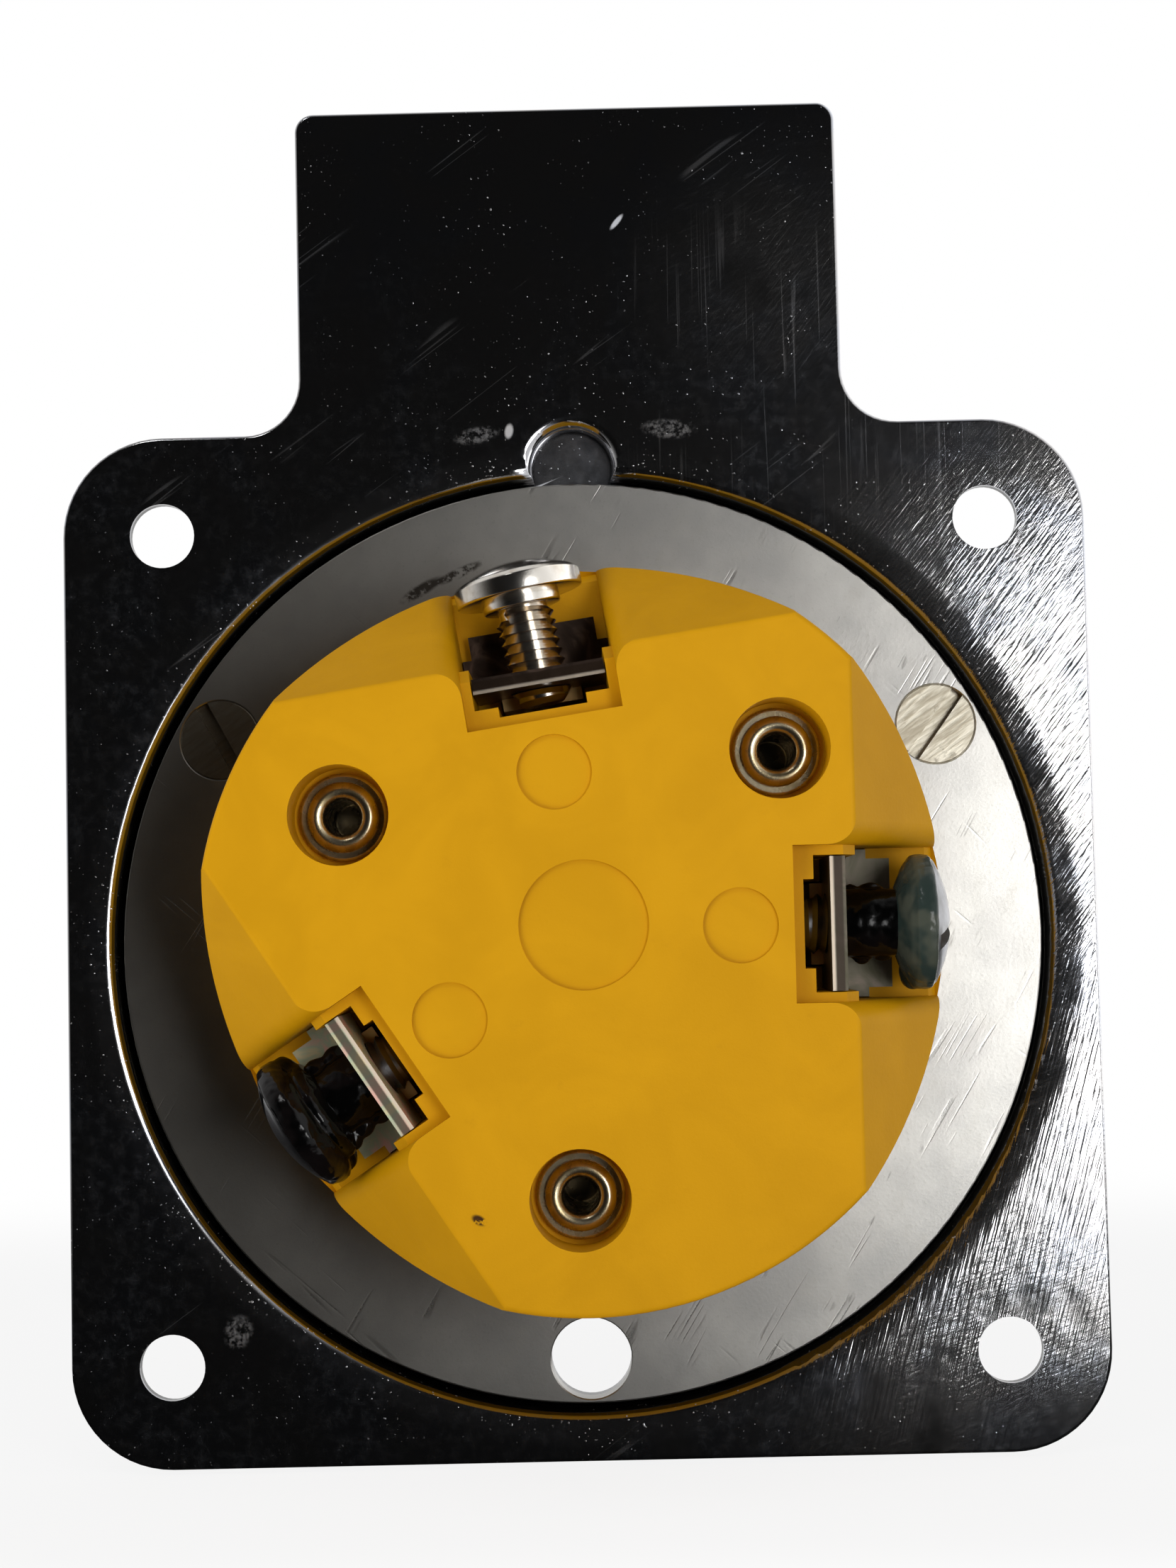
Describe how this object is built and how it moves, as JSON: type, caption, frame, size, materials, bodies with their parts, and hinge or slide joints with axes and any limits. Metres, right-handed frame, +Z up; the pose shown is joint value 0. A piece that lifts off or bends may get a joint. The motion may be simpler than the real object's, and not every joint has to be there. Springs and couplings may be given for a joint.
{
  "type": "marine shore-power receptacle",
  "caption": "Round locking power socket in a square polished panel plate with an upright tab, with a moulded yellow rear housing and three screw terminals in open pockets.",
  "frame": {"origin": "centre of the four corner holes and of the ring, on the plate's back face; the socket's own axis is 0.8 mm above it and 0.15 mm towards -X", "axes": "+Z up, from the socket's axis to the tab; +Y backwards, to the wiring side; the socket's face looks to -Y"},
  "size_m": [0.0888, 0.032, 0.1172],
  "materials": {
    "polished_steel": "polished, scratched stainless steel",
    "plated_ring": "dull plated steel",
    "ring_screw": "dull plated steel",
    "gasket": "matte",
    "yellow_nylon": "satin moulded nylon",
    "contact_brass": "formed strip",
    "bracket_plate": "plated strip with a yellowish passivation",
    "terminal_screw": "bright nickel plating",
    "painted_screw": "nickel plating under a brushed-on dab of thick dark paint",
    "rivet_metal": "nickel plating, yellowish"
  },
  "bodies": {
    "root": {"cover_plate": "polished_steel", "mounting_ring": "plated_ring", "ring_screw_right": "ring_screw", "ring_screw_left": "ring_screw", "body_gasket": "gasket", "rear_housing": "yellow_nylon", "front_body": "yellow_nylon", "ground_strap": "contact_brass", "contact_ground": "contact_brass", "bracket_ground": "bracket_plate", "terminal_screw_ground": "painted_screw", "contact_neutral": "contact_brass", "bracket_neutral": "bracket_plate", "terminal_screw_neutral": "terminal_screw", "contact_hot": "contact_brass", "bracket_hot": "bracket_plate", "terminal_screw_hot": "painted_screw", "rivet_right": "rivet_metal", "rivet_washer_right": "rivet_metal", "rivet_left": "rivet_metal", "rivet_washer_left": "rivet_metal", "rivet_bottom": "rivet_metal", "rivet_washer_bottom": "rivet_metal"}
  },
  "joints": []
}
